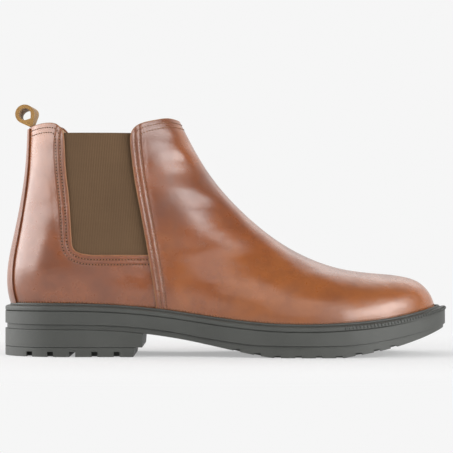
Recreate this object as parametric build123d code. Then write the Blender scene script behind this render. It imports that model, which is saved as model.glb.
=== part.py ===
"""Chelsea boot for a right foot, EU 42, as an assembly of its cut, lasted and moulded pieces.

Millimetres. +X runs to the toe, +Y to the inner (medial) side of the foot and +Z up. The origin is on the
ground, in the middle of the sole unit's length and width.

The upper is described once, as the outer face of its leather: a ridge line from the toe up the instep to the
top, a back line up the heel, and half widths between them. Every layer of the upper is that face moved inwards
by its depth, so leather, stiffeners, lining and footbed all follow from the same few curves.
"""
from build123d import *
from math import cos, pi, sin
import os

import numpy as np
from scipy.interpolate import CubicSpline, PchipInterpolator

os.makedirs("parts", exist_ok=True)

# ---------------------------------------------------------------- overall size
LENGTH = 291.9
HEIGHT = 162.0
LONG = LENGTH / 291.9
TALL = HEIGHT / 162.0


def drawn(points):
    """(x, z) points laid out for an EU 42 boot, stretched to this boot's length and height."""
    return [(x * LONG, z * TALL) for x, z in points]


def spread(points):
    """(x, value) points laid out for an EU 42 boot, stretched to this boot's length."""
    return [(x * LONG, value) for x, value in points]


# ---------------------------------------------------------------- driving sizes of the upper's outer face
TOE_X = 146.2 * LONG
HEEL_X = -145.7 * LONG
SEAT = drawn([(-152.0, 30.3), (-100.0, 30.6), (-45.0, 27.0), (0.0, 20.6), (30.0, 17.6), (55.0, 17.0),
              (85.0, 18.2), (120.0, 22.2), (152.0, 29.6)])
RIDGE = drawn([(144.8, 35.0), (141.0, 43.0), (134.0, 49.6), (123.0, 53.4), (101.5, 55.8), (79.5, 59.0),
               (57.0, 66.6), (35.0, 79.0), (13.0, 97.0), (-9.3, 121.8), (-25.9, 149.5), (-37.0, 172.0)])
BACK = drawn([(-149.1, 42.0), (-149.9, 54.0), (-148.3, 68.0), (-144.5, 86.0), (-140.1, 109.0),
              (-137.3, 130.0), (-136.1, 150.0), (-135.3, 172.0)])
WIDTH_OUTER = spread([(-150.0, 33.5), (-100.0, 34.0), (-60.0, 34.0), (-20.0, 37.5), (20.0, 45.5),
                      (50.0, 50.5), (75.0, 51.0), (100.0, 49.5), (146.0, 45.0)])
WIDTH_INNER = spread([(-150.0, 33.5), (-100.0, 33.5), (-60.0, 31.5), (-25.0, 32.0), (10.0, 37.5),
                      (45.0, 45.0), (70.0, 48.5), (100.0, 47.5), (146.0, 43.0)])
CENTRE_LINE = spread([(-150.0, 0.0), (-60.0, 0.0), (0.0, 0.0), (60.0, 1.0), (110.0, 4.0), (146.0, 8.0)])
ROUNDNESS = spread([(-150.0, 3.0), (-60.0, 3.0), (-20.0, 2.4), (20.0, 1.85), (60.0, 2.1), (100.0, 2.5),
                    (146.0, 2.5)])
SHAFT_HALF_WIDTH = 37.0
SHAFT_BLEND = (40.0 * TALL, 115.0 * TALL)
SHAFT_BLEND_X = (40.0 * LONG, -20.0 * LONG)
TOE_START = 60.0 * LONG
TOE_ROUNDNESS = 2.15
HEEL_RADIUS = (38.0 * LONG, 46.0 * LONG)
HEEL_ROUNDNESS = 2.2
SIDE_BULGE = 0.05
BULGE_HEIGHT = 50.0 * TALL

# ---------------------------------------------------------------- thicknesses and gaps
LEATHER = 1.2
ELASTIC = 1.0
STIFFENER = 1.0
LINING = 0.7
GLUE = 0.15
LAP_STEP = LEATHER + GLUE

# ---------------------------------------------------------------- outlines of the cut panels, side view
VAMP_EDGE = drawn([(-62.7, 153.9), (-64.2, 147.9), (-63.7, 140.9), (-61.8, 125.1), (-58.3, 105.2),
                   (-54.8, 86.2), (-52.3, 72.3), (-50.3, 60.4), (-47.3, 41.5), (-47.0, 10.0)])
VAMP_TOP = drawn([(-62.7, 153.9), (-59.3, 157.0), (-53.8, 159.1), (-46.3, 160.8), (-38.6, 162.0),
                  (-33.0, 161.0), (-24.0, 158.0)])
QUARTER_TOP = drawn([(-143.0, 155.3), (-137.1, 155.5), (-126.6, 157.9), (-119.5, 158.4), (-115.2, 157.6),
                     (-112.4, 155.1), (-110.4, 151.8)])
QUARTER_EDGE = drawn([(-110.4, 151.8), (-109.7, 142.8), (-109.0, 128.4), (-107.0, 111.1), (-105.5, 91.3),
                      (-104.6, 76.3)])
GORE_CORNER = drawn([(-104.6, 76.3), (-102.1, 71.3), (-97.1, 69.3), (-91.0, 68.4)])
PUFF_REAR = drawn([(88.0, 15.0), (91.0, 30.0), (90.0, 45.0), (84.0, 70.0)])
INTERLINING_FRONT = drawn([(82.0, 75.0), (87.0, 45.0), (88.0, 30.0), (85.0, 10.0)])
TAILS = drawn([(-120.0, 138.0), (-120.0, 154.6)])
PANEL_FOOT = 10.0 * TALL
GORE_FLOOR = 68.4 * TALL
GORE_TOP = 151.3 * TALL
LAP = 8.0
MARGIN = 8.0
UNDER_GORE = GORE_FLOOR - MARGIN
COUNTER_TOP = (drawn([(-170.0, 91.0), (-140.0, 90.0), (-126.0, 82.0)])
               + [(-119.0 * LONG, UNDER_GORE + 5.6), (-110.0 * LONG, UNDER_GORE - 2.9)]
               + drawn([(-92.0, 50.0), (-78.0, 36.0), (-72.0, 20.0)]))

# ---------------------------------------------------------------- driving sizes of the sole
SOLE_MARGIN = 6.5
RUNNER_MARGIN = 5.2
RUNNER_TOP = drawn([(-160.0, 22.0), (-100.0, 21.8), (-73.0, 21.0), (-42.0, 18.0), (-11.0, 12.7),
                    (23.0, 8.5), (52.0, 8.0), (79.0, 8.3), (121.0, 13.7), (152.0, 21.2), (160.0, 23.5)])
TREAD = drawn([(-160.0, 18.5), (-100.0, 18.4), (-75.0, 17.6), (-56.0, 15.9), (-30.0, 12.2), (-6.0, 7.3),
               (13.0, 3.2), (26.0, 0.9), (38.0, -0.3), (75.0, -0.3), (87.0, 1.3), (111.0, 5.7), (134.0, 12.2),
               (151.0, 18.6), (160.0, 22.0)])
WELT_INNER = 4.6
WELT_OUTER = 3.4
LUG_GROOVES = [x * LONG for x in (7.7, 21.5, 35.0, 49.0, 62.7, 76.5, 89.5, 102.2, 113.8)]
LUG_GROOVE = 4.5
LUG_DEPTH = 1.6
HEEL_BREAST = -54.7 * LONG
LIFT_BREAST = -61.2 * LONG
LIFT = 6.2
HEEL_ROOF = 25.0 * TALL
LIFT_NOTCHES = [x * LONG for x in (-133.0, -118.5, -88.5, -73.5)]
LIFT_CROSS_GROOVE = -103.5 * LONG
NOTCH_REACH = 11.0
LIFT_GROOVE = 4.1
LIFT_GROOVE_DEPTH = 3.5
NAIL = 2.4
NAIL_HEAD = 1.5
NAIL_TOP = 15.5 * TALL
NAILS = spread([(-139.5, 0.0), (-125.8, -21.0), (-125.8, 21.0), (-96.0, -24.0), (-96.0, 24.0)])

# ---------------------------------------------------------------- driving sizes inside the boot
FILLER = 2.4
SHANK = 1.4
SHANK_WIDTH = 14.0
SHANK_REAR = -98.0 * LONG
SHANK_FRONT = 2.0 * LONG
RIVET = 4.0
RIVET_SINK = 0.8
RIVET_X = [-84.0 * LONG, -12.0 * LONG]
BOARD = 2.0
FOOTBED = 3.5
HEEL_PAD = 1.5
PAD_FRONT = -86.0 * LONG
CLEARANCE = 0.2
INNER_CLEARANCE = 1.0

# ---------------------------------------------------------------- driving sizes of the back strip and pull tab
SEAM = 0.0005
BACKSTAY = 1.0
BACKSTAY_RING = 0.085
TAIL_RING = 0.055
TAB_PIVOT = (-134.9 * LONG, 159.7 * TALL)
TAB_RADIUS = 6.6
TAB_ROOT = 2.5
TAB_RISE = 6.0
TAB_LEAN = -3.4
TAB_THICK = 2.5
TAB_WIDTH = 16.0

# ---------------------------------------------------------------- cutting limits and sampling
WALL = LEATHER + 2 * GLUE + STIFFENER + LINING + LAP_STEP
SIDE_REACH = 90.0
FRONT_REACH = 170.0 * LONG
REAR_REACH = 170.0 * LONG
PLAN_REACH = 40.0 * TALL
BAND_STATIONS = 49
OUTLINE_POINTS = 44
FRONT_RINGS = np.linspace(0.36, 1.64, 81)
RISES = np.linspace(0, 1, 29)


def smooth(points):
    """A natural cubic through (position, value) points."""
    positions, values = zip(*points)
    return CubicSpline(positions, values, bc_type="natural")


def level(points):
    """A curve through (x, height) points that never overshoots a flat stretch."""
    positions, heights = zip(*points)
    curve = PchipInterpolator(positions, heights)
    return lambda x: float(curve(x))


def along(points):
    """A smooth curve through (x, z) points, from 0 to 1 by distance."""
    points = np.array(points, float)
    steps = np.hypot(*np.diff(points, axis=0).T)
    distance = np.concatenate(([0.0], np.cumsum(steps)))
    return CubicSpline(distance / distance[-1], points, bc_type="natural")


seat = smooth(SEAT)
runner_top, tread = level(RUNNER_TOP), level(TREAD)
ridge = along([(TOE_X, float(seat(TOE_X)))] + RIDGE)
back = along([(HEEL_X, float(seat(HEEL_X)))] + BACK)
width_outer, width_inner = smooth(WIDTH_OUTER), smooth(WIDTH_INNER)
centre_line, roundness = smooth(CENTRE_LINE), smooth(ROUNDNESS)
FINE = np.linspace(0.0, 1.0, 20001)
RIDGE_FINE, BACK_FINE = ridge(FINE), back(FINE)
RIDGE_END, RIDGE_BEFORE = RIDGE_FINE[-1], RIDGE_FINE[-400]
RIDGE_SLOPE = (RIDGE_END[1] - RIDGE_BEFORE[1]) / (RIDGE_END[0] - RIDGE_BEFORE[0])


def ridge_height(x):
    """Height of the ridge line over x, carried on at its last slope behind the shaft's front."""
    if x < RIDGE_END[0]:
        return RIDGE_END[1] + RIDGE_SLOPE * (x - RIDGE_END[0])
    return float(np.interp(x, RIDGE_FINE[::-1, 0], RIDGE_FINE[::-1, 1]))


def back_line(z):
    return float(np.interp(z, BACK_FINE[:, 1], BACK_FINE[:, 0]))


def ease(a, b, value):
    share = min(max((value - a) / (b - a), 0.0), 1.0)
    return share * share * (3 - 2 * share)


def half_width(x, z, side):
    """Distance from the centre line to the leather's outer face at (x, z). side is -1 outer, +1 inner."""
    floor = float(seat(x))
    rise = min(max((z - floor) / max(ridge_height(x) - floor, 1e-6), 0.0), 1.0)
    width = float((width_outer if side < 0 else width_inner)(x))
    width += (SHAFT_HALF_WIDTH - width) * ease(*SHAFT_BLEND, z) * ease(*SHAFT_BLEND_X, x)
    width *= 1 + SIDE_BULGE * sin(pi * min(max((z - floor) / BULGE_HEIGHT, 0.0), 1.0))
    over = (1 - rise ** float(roundness(x))) ** 0.5
    tip = min(max((x - TOE_START) / (TOE_X - TOE_START), 0.0), 1.0)
    toe = (1 - tip ** TOE_ROUNDNESS) ** 0.5
    radius = HEEL_RADIUS[0] + (HEEL_RADIUS[1] - HEEL_RADIUS[0]) * ease(*SHAFT_BLEND, z)
    behind = 1 - min(max((x - back_line(z)) / radius, 0.0), 1.0)
    heel = (1 - behind ** HEEL_ROUNDNESS) ** 0.5
    return width * over * toe * heel


def face_point(ring, rise):
    """A point of the leather's outer face. ring runs round the boot from 0 at the back by the outer side to
    1 at the front and on by the inner side to 2. rise is 0 at the sole and 1 above the top edge."""
    ring = ring % 2
    side = -1 if ring < 1 else 1
    share = (1 - cos(pi * ring)) / 2
    rear, front = back(rise), ridge(rise)
    x, z = rear + (front - rear) * share
    foot = HEEL_X + (TOE_X - HEEL_X) * share
    straight = float(seat(HEEL_X)) * (1 - share) + float(seat(TOE_X)) * share
    z += (1 - rise) ** 2 * (float(seat(foot)) - straight)
    return np.array([x, float(centre_line(x)) + side * half_width(x, z, side), z])


def moved_in(ring, rise, depth):
    """The face point moved inwards along the normal. depth is a number or a function of (x, z)."""
    low = max(rise - 0.004, 0.0)
    up = face_point(ring, low + 0.008) - face_point(ring, low)
    round_ = face_point(ring + 0.002, rise) - face_point(ring - 0.002, rise)
    normal = np.cross(up, round_)
    normal /= np.linalg.norm(normal)
    point = face_point(ring, rise)
    amount = depth(point[0], point[2]) if callable(depth) else depth
    point = point + normal * amount
    if rise == 0:
        point[2] = float(seat(point[0])) + GLUE
    return point


# ---------------------------------------------------------------- building tools
def skin(points):
    """A spline face through a grid of points."""
    return Face.make_surface_from_array_of_points(points, tol=5e-2, min_deg=3, max_deg=3)


def layer(rings, rises, outer, inner):
    """A curved sheet between two depths below the leather's outer face."""
    depths = (outer, inner)
    grids = [[[Vector(*moved_in(a, v, depth)) for v in rises] for a in rings] for depth in depths]
    faces = [skin(grid) for grid in grids]
    middle = (len(rings) // 2, len(rises) // 2)
    walls = []
    for i, j in ((0, middle[1]), (-1, middle[1]), (middle[0], 0), (middle[0], -1)):
        pair = [min(face.edges(), key=lambda edge: edge.distance_to(Vertex(grid[i][j])))
                for face, grid in zip(faces, grids)]
        walls.append(Face.make_surface_from_curves(*pair))
    return Solid(Shell(faces + walls))


def side_spline(points):
    """A smooth edge through (x, z) points in the side view."""
    return Edge.make_spline([Vector(x, 0, z) for x, z in points])


def side_lines(*points):
    """Straight edges through (x, z) points in the side view."""
    corners = [Vector(x, 0, z) for x, z in points]
    return [Edge.make_line(start, end) for start, end in zip(corners, corners[1:])]


def side_prism(edges, y_from=-SIDE_REACH, y_to=SIDE_REACH):
    """A closed side-view outline drawn out across the boot."""
    face = Face(Wire(edges)).moved(Location((0, y_from, 0)))
    return Solid.extrude(face, Vector(0, y_to - y_from, 0))


def shifted(points, dx, dz):
    return [(x + dx, z + dz) for x, z in points]


def band(top, bottom, x_from, x_to, y_from=-SIDE_REACH, y_to=SIDE_REACH):
    """The space between two height curves, each a function of x."""
    stations = np.linspace(x_from, x_to, BAND_STATIONS)
    upper = [(x, top(x)) for x in stations]
    lower = [(x, bottom(x)) for x in stations]
    ends = side_lines(upper[-1], lower[-1]) + side_lines(lower[0], upper[0])
    return side_prism([side_spline(upper), side_spline(lower)] + ends, y_from, y_to)


def plan_prism(points):
    """A closed smooth plan outline drawn up through the boot's height."""
    face = Face(Wire([Edge.make_spline([Vector(x, y, 0) for x, y in points], periodic=True)]))
    return Solid.extrude(face.moved(Location((0, 0, -PLAN_REACH))), Vector(0, 0, 3 * PLAN_REACH))


def sole_outline(margin):
    """The plan outline of the upper at the sole, widened by a margin."""
    rings = np.linspace(0, 2, OUTLINE_POINTS, endpoint=False)
    points = []
    for ring in rings:
        here = face_point(ring, 0)
        travel = face_point(ring + 0.004, 0) - face_point(ring - 0.004, 0)
        travel /= np.hypot(travel[0], travel[1])
        points.append((here[0] + travel[1] * margin, here[1] - travel[0] * margin))
    return points


def rise_at(ring, height):
    """The rise at which the outer face stands a given height above the seat."""
    low, high = 0.0, 0.5
    for _ in range(24):
        middle = (low + high) / 2
        point = face_point(ring, middle)
        if point[2] - float(seat(point[0])) < height:
            low = middle
        else:
            high = middle
    return (low + high) / 2


def inner_outline(height, inset):
    """The plan outline of the space inside the lining at a height above the seat."""
    rings = np.linspace(0, 2, OUTLINE_POINTS, endpoint=False)
    points = [moved_in(ring, rise_at(ring, height), WALL + inset) for ring in rings]
    return [(point[0], point[1]) for point in points]


def seat_plus(height):
    return lambda x: float(seat(x)) + height


def inner_plate(bottom, thickness, inset=INNER_CLEARANCE):
    """A plate lying inside the upper, between two heights above the seat."""
    outline = plan_prism(inner_outline(bottom + thickness / 2, inset))
    return outline & band(seat_plus(bottom + thickness), seat_plus(bottom), HEEL_X, TOE_X)


def cylinder(x, y, z_from, z_to, diameter):
    height = z_to - z_from
    return Solid.make_cylinder(diameter / 2, height, Plane((x, y, z_from)))


# ---------------------------------------------------------------- depths of the layers of the upper
def edge_x(z):
    """x of the vamp's rear edge at a height."""
    heights = [point[1] for point in VAMP_EDGE[::-1]]
    return float(np.interp(z, heights, [point[0] for point in VAMP_EDGE[::-1]]))


def rear_depth(depth):
    """Depth of a layer behind the vamp's edge, dipping to pass under the vamp's lap."""
    return lambda x, z: depth + LAP_STEP * ease(edge_x(z) - 16.0, edge_x(z) - 5.0, x)


def front_depth(depth):
    """Depth of a layer inside the vamp, dipping to pass behind the lap."""
    return lambda x, z: depth + LAP_STEP * ease(edge_x(z) + 34.0, edge_x(z) + 14.0, x)


# ---------------------------------------------------------------- the upper
def vamp_outline(inset=0.0):
    top = shifted(VAMP_TOP, 0, -inset)
    edge = [top[0]] + VAMP_EDGE[1:]
    start, end = top[-1], edge[-1]
    around = side_lines(start, (FRONT_REACH, start[1]), (FRONT_REACH, end[1]), end)
    return [side_spline(edge), side_spline(top)] + around


def make_vamp():
    sheet = layer(FRONT_RINGS, RISES, 0.0, LEATHER)
    return sheet & side_prism(vamp_outline())


def quarter_outline(inset, front):
    """front is the last x of the strip under the gore, measured from the vamp's edge."""
    top = shifted(QUARTER_TOP, 0, -inset)
    edge = [top[-1]] + QUARTER_EDGE[1:]
    reach = edge_x(GORE_FLOOR) + front
    strip = side_lines(GORE_CORNER[-1], (reach, GORE_FLOOR), (VAMP_EDGE[-1][0] + front, PANEL_FOOT),
                       (-REAR_REACH, PANEL_FOOT), (-REAR_REACH, top[0][1]), top[0])
    return [side_spline(top), side_spline(edge), side_spline(GORE_CORNER)] + strip


def make_quarter(side):
    rings = np.linspace(SEAM, 0.60, 31)
    if side > 0:
        rings = 2 - rings[::-1]
    sheet = layer(rings, RISES, rear_depth(0.0), rear_depth(LEATHER))
    return sheet & side_prism(quarter_outline(0.0, LAP))


def make_backstay():
    rings = np.linspace(-BACKSTAY_RING, BACKSTAY_RING, 13)
    sheet = layer(rings, RISES, -GLUE - BACKSTAY, -GLUE)
    foot = float(seat(HEEL_X)) + WELT_INNER + 2 * GLUE
    top = shifted(QUARTER_TOP[:3], 0, -0.4)
    sides = side_lines(top[-1], (top[-1][0], foot), (-REAR_REACH, foot), (-REAR_REACH, top[0][1]), top[0])
    return sheet & side_prism([side_spline(top)] + sides)


def make_gore(side):
    rings = np.linspace(0.12, 0.72, 33)
    if side > 0:
        rings = 2 - rings[::-1]
    depth = LEATHER + GLUE
    sheet = layer(rings, np.linspace(0.1, 1, 21), rear_depth(depth), rear_depth(depth + ELASTIC))
    rear = shifted(QUARTER_EDGE, -MARGIN, 0)
    rear[0] = (rear[0][0], GORE_TOP)
    floor = GORE_FLOOR - MARGIN
    front = shifted(VAMP_EDGE[1:7], MARGIN, 0)
    front = [(front[0][0], GORE_TOP)] + front[1:]
    lines = side_lines(rear[0], front[0])
    lines += side_lines(front[-1], (front[-1][0], floor), (rear[-1][0], floor), rear[-1])
    return sheet & side_prism([side_spline(rear), side_spline(front)] + lines)


def make_heel_counter():
    depth = LEATHER + GLUE
    sheet = layer(np.linspace(-0.36, 0.36, 41), np.linspace(0, 0.55, 17), depth, depth + STIFFENER)
    start, end = COUNTER_TOP[0], COUNTER_TOP[-1]
    return sheet & side_prism([side_spline(COUNTER_TOP)] + side_lines(end, (start[0], end[1]), start))


def make_toe_puff():
    depth = LEATHER + GLUE
    sheet = layer(FRONT_RINGS, RISES, depth, depth + STIFFENER)
    low, high = PUFF_REAR[0], PUFF_REAR[-1]
    around = side_lines(high, (FRONT_REACH, high[1]), (FRONT_REACH, low[1]), low)
    return sheet & side_prism([side_spline(PUFF_REAR)] + around)


def make_vamp_interlining():
    depth = LEATHER + GLUE
    sheet = layer(FRONT_RINGS, RISES, depth, depth + LINING)
    rear = shifted(VAMP_EDGE, MARGIN + 3.0, 0)
    top = shifted(VAMP_TOP[3:], 0, -1.0)
    rear = [(rear[1][0], top[0][1])] + rear[1:]
    front = INTERLINING_FRONT
    lines = side_lines(top[-1], (front[0][0], top[-1][1]), front[0]) + side_lines(front[-1], rear[-1])
    lines += side_lines(rear[0], top[0])
    return sheet & side_prism([side_spline(rear), side_spline(top), side_spline(front)] + lines)


def make_vamp_lining():
    depth = LEATHER + 2 * GLUE + STIFFENER
    sheet = layer(FRONT_RINGS, RISES, front_depth(depth), front_depth(depth + LINING))
    return sheet & side_prism(vamp_outline(1.0))


def make_quarter_lining():
    depth = LEATHER + 2 * GLUE + STIFFENER
    sheet = layer(np.linspace(-0.60, 0.60, 61), RISES, rear_depth(depth), rear_depth(depth + LINING))
    return sheet & side_prism(quarter_outline(1.0, -0.4))


def make_pull_tab_tails():
    depth = LEATHER + GLUE
    sheet = layer(np.linspace(-TAIL_RING, TAIL_RING, 9), np.linspace(0.6, 1, 9), depth, depth + STIFFENER)
    low, high = TAILS
    rear_low, rear_high = (-REAR_REACH, low[1]), (-REAR_REACH, high[1])
    return sheet & side_prism(side_lines(rear_low, low, high, rear_high, rear_low))


def teardrop(top_radius, root_radius, root_rise):
    """The side view of a strap loop, a large round above joined by straight sides to a small one below."""
    root = Vector(TAB_PIVOT[0], 0, TAB_PIVOT[1] + root_rise)
    top = Vector(TAB_PIVOT[0] + TAB_LEAN, 0, TAB_PIVOT[1] + TAB_RISE)
    axis = top - root
    length = axis.length
    along_axis = axis / length
    across = Vector(along_axis.Z, 0, -along_axis.X)
    tilt = (top_radius - root_radius) / length
    spread = (1 - tilt ** 2) ** 0.5
    out = [across * spread * sign - along_axis * tilt for sign in (1, -1)]
    tops = [top + direction * top_radius for direction in out]
    roots = [root + direction * root_radius for direction in out]
    crown = Edge.make_three_point_arc(tops[0], top + along_axis * top_radius, tops[1])
    heel = Edge.make_three_point_arc(roots[1], root - along_axis * root_radius, roots[0])
    return [crown, Edge.make_line(tops[1], roots[1]), heel, Edge.make_line(roots[0], tops[0])]


def make_pull_tab():
    outer = side_prism(teardrop(TAB_RADIUS, TAB_ROOT, 0.0), -TAB_WIDTH / 2, TAB_WIDTH / 2)
    hole = side_prism(teardrop(TAB_RADIUS - TAB_THICK, TAB_ROOT / 4, TAB_ROOT + 1.0))
    return outer - hole


# ---------------------------------------------------------------- inside the boot
def make_filler():
    plate = inner_plate(GLUE, FILLER)
    half = SHANK_WIDTH / 2 + CLEARANCE
    slot = band(seat_plus(FILLER + 1.0), seat_plus(0.3), SHANK_REAR - CLEARANCE, SHANK_FRONT + CLEARANCE,
                -half, half)
    return plate - slot


def make_shank():
    half = SHANK_WIDTH / 2
    strip = band(seat_plus(0.4 + SHANK), seat_plus(0.4), SHANK_REAR, SHANK_FRONT, -half, half)
    for x in RIVET_X:
        strip -= cylinder(x, 0, 0, PLAN_REACH, RIVET + 2 * GLUE)
    return strip


def make_insole_board():
    board = inner_plate(FILLER + 2 * GLUE, BOARD)
    for x in RIVET_X:
        board -= cylinder(x, 0, 0, PLAN_REACH, RIVET + 2 * GLUE)
    return board


def make_shank_rivet(x):
    floor = float(seat(x))
    return cylinder(x, 0, floor + RIVET_SINK, floor + FILLER + BOARD + 2 * GLUE - RIVET_SINK, RIVET)


def make_footbed():
    return inner_plate(FILLER + BOARD + 3 * GLUE, FOOTBED)


def make_heel_pad():
    pad = inner_plate(FILLER + BOARD + FOOTBED + 4 * GLUE, HEEL_PAD, INNER_CLEARANCE + 4.0)
    corner = Plane((-REAR_REACH, -SIDE_REACH, 0))
    keep = Solid.make_box(PAD_FRONT + REAR_REACH, 2 * SIDE_REACH, 2 * PLAN_REACH, corner)
    return pad & keep


# ---------------------------------------------------------------- the sole
def make_welt():
    """The strip round the upper's foot, butt joined at the back."""
    rings = np.linspace(SEAM, 2 - SEAM, 97)
    inner_low, inner_high, outer_low, outer_high = [], [], [], []
    for ring in rings:
        low = moved_in(ring, rise_at(ring, 2 * GLUE), -2 * GLUE)
        high = moved_in(ring, rise_at(ring, WELT_INNER), -2 * GLUE)
        here = face_point(ring, 0)
        travel = face_point(ring + 0.004, 0) - face_point(ring - 0.004, 0)
        travel /= np.hypot(travel[0], travel[1])
        x, y = here[0] + travel[1] * SOLE_MARGIN, here[1] - travel[0] * SOLE_MARGIN
        floor = float(seat(x))
        inner_low.append(Vector(low[0], low[1], float(seat(low[0])) + GLUE))
        inner_high.append(Vector(*high))
        outer_low.append(Vector(x, y, floor + GLUE))
        outer_high.append(Vector(x, y, floor + WELT_OUTER))
    loops = [inner_low, inner_high, outer_high, outer_low]
    edges = [Edge.make_spline(loop) for loop in loops]
    faces = [Face.make_surface_from_curves(edges[k], edges[(k + 1) % 4]) for k in range(4)]
    for end in (0, -1):
        low, high = [Edge.make_line(loops[a][end], loops[b][end]) for a, b in ((0, 3), (1, 2))]
        faces.append(Face.make_surface_from_curves(low, high))
    return Solid(Shell(faces))


def make_midsole():
    return plan_prism(sole_outline(SOLE_MARGIN)) & band(seat_plus(0.0), runner_top, -REAR_REACH, FRONT_REACH)


def cross_groove(x, width, low, high):
    """A groove running straight across the sole."""
    return Solid.make_box(width, 2 * SIDE_REACH, high - low, Plane((x - width / 2, -SIDE_REACH, low)))


def side_notches(places, width, low, high):
    """Blind notches that reach in from the sole's edge at each x. low and high are functions of x."""
    core = plan_prism(sole_outline(SOLE_MARGIN - NOTCH_REACH))
    return [notch for x in places for notch in (cross_groove(x, width, low(x), high(x)) - core).solids()]


def make_outsole():
    """The runner, with lugs parted by notches along both edges of the forefoot."""
    outline = plan_prism(sole_outline(RUNNER_MARGIN))
    sole = outline & band(lambda x: runner_top(x) - GLUE, tread, -REAR_REACH, FRONT_REACH)
    notches = side_notches(LUG_GROOVES, LUG_GROOVE, lambda x: tread(x) - 3.0, lambda x: tread(x) + LUG_DEPTH)
    corner = Plane((-REAR_REACH, -SIDE_REACH, -PLAN_REACH))
    ground = Solid.make_box(FRONT_REACH + REAR_REACH, 2 * SIDE_REACH, PLAN_REACH, corner)
    return sole - [ground, *notches]


def heel_prism(front_top, front_bottom, top, bottom):
    """The rear of the sole outline between two heights, with a slanting breast."""
    sides = side_lines((-REAR_REACH, bottom), (front_bottom, bottom), (front_top, top), (-REAR_REACH, top),
                       (-REAR_REACH, bottom))
    return plan_prism(sole_outline(SOLE_MARGIN)) & side_prism(sides)


def make_heel_block():
    roof = band(lambda x: tread(x) - GLUE, lambda x: 0.0, -REAR_REACH, HEEL_BREAST + 5.0)
    block = heel_prism(HEEL_BREAST, HEEL_BREAST - 1.5, HEEL_ROOF, LIFT + 2 * GLUE) & roof
    for x, y in NAILS:
        block -= cylinder(x, y, 0, NAIL_TOP + GLUE, NAIL + 2 * GLUE)
    return block


def make_heel_lift():
    """The heel's tread, notched along its edge and grooved right across in the middle."""
    lift = heel_prism(LIFT_BREAST, LIFT_BREAST - 1.0, LIFT, 0.0)
    cutters = side_notches(LIFT_NOTCHES, LIFT_GROOVE, lambda x: -1.0, lambda x: LIFT_GROOVE_DEPTH)
    cutters.append(cross_groove(LIFT_CROSS_GROOVE, LIFT_GROOVE, -1.0, LIFT_GROOVE_DEPTH))
    cutters += [cylinder(x, y, -1.0, LIFT + 1.0, NAIL + 2 * GLUE) for x, y in NAILS]
    return lift - cutters


def make_heel_nail(x, y):
    return cylinder(x, y, NAIL_HEAD, NAIL_TOP, NAIL)


# ---------------------------------------------------------------- the assembly
def make_parts():
    parts = {
        "vamp": make_vamp(),
        "quarter_lateral": make_quarter(-1),
        "quarter_medial": make_quarter(1),
        "backstay": make_backstay(),
        "gore_lateral": make_gore(-1),
        "gore_medial": make_gore(1),
        "pull_tab": make_pull_tab(),
        "pull_tab_tails": make_pull_tab_tails(),
        "toe_puff": make_toe_puff(),
        "heel_counter": make_heel_counter(),
        "vamp_interlining": make_vamp_interlining(),
        "vamp_lining": make_vamp_lining(),
        "quarter_lining": make_quarter_lining(),
        "filler": make_filler(),
        "shank": make_shank(),
        "insole_board": make_insole_board(),
        "footbed": make_footbed(),
        "heel_pad": make_heel_pad(),
        "welt": make_welt(),
        "midsole": make_midsole(),
        "outsole": make_outsole(),
        "heel_block": make_heel_block(),
        "heel_lift": make_heel_lift(),
    }
    for number, x in enumerate(RIVET_X, 1):
        parts[f"shank_rivet_{number}"] = make_shank_rivet(x)
    for number, (x, y) in enumerate(NAILS, 1):
        parts[f"heel_nail_{number}"] = make_heel_nail(x, y)
    return parts


def outline_centre():
    points = np.array(sole_outline(SOLE_MARGIN))
    curve = Edge.make_spline([Vector(x, y, 0) for x, y in points], periodic=True)
    box = curve.bounding_box(optimal=True)
    return (box.min.X + box.max.X) / 2, (box.min.Y + box.max.Y) / 2


def main():
    centre_x, centre_y = outline_centre()
    for name, part in make_parts().items():
        part = part.moved(Location((-centre_x, -centre_y, 0)))
        export_step(part, f"parts/{name}.step")


if __name__ == "__main__":
    main()
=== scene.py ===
"""A brown leather chelsea boot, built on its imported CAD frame. Metres, in the CAD frame."""
import math

import bmesh
import bpy
import numpy as np
from bpy.props import FloatProperty, FloatVectorProperty, IntProperty, PointerProperty
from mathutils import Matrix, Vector
from mathutils.bvhtree import BVHTree


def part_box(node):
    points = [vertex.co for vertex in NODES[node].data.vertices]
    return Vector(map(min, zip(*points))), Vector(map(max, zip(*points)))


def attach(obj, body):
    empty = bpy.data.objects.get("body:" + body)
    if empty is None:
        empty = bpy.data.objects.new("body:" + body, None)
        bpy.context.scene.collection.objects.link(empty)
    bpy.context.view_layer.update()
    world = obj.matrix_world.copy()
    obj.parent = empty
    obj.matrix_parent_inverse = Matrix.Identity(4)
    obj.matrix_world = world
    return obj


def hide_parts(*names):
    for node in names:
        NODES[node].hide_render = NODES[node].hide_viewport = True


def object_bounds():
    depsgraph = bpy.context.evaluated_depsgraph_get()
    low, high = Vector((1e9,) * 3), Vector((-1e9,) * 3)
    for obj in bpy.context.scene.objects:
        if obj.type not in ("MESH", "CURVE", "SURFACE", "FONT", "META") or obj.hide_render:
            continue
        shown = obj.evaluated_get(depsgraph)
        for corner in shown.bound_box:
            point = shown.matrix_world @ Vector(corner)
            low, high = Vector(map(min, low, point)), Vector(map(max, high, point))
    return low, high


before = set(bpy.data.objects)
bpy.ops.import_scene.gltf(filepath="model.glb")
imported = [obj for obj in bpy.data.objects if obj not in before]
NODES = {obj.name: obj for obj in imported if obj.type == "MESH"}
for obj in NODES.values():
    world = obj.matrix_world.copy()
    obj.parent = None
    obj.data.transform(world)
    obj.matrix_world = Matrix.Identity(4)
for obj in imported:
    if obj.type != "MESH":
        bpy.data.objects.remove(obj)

bl_info = {
    "name": "Chelsea boot",
    "version": (1, 0, 0),
    "blender": (4, 5, 0),
    "location": "View3D > Sidebar > Boot",
    "description": "Builds the visible boot over its CAD frame",
    "category": "Object",
}

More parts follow.
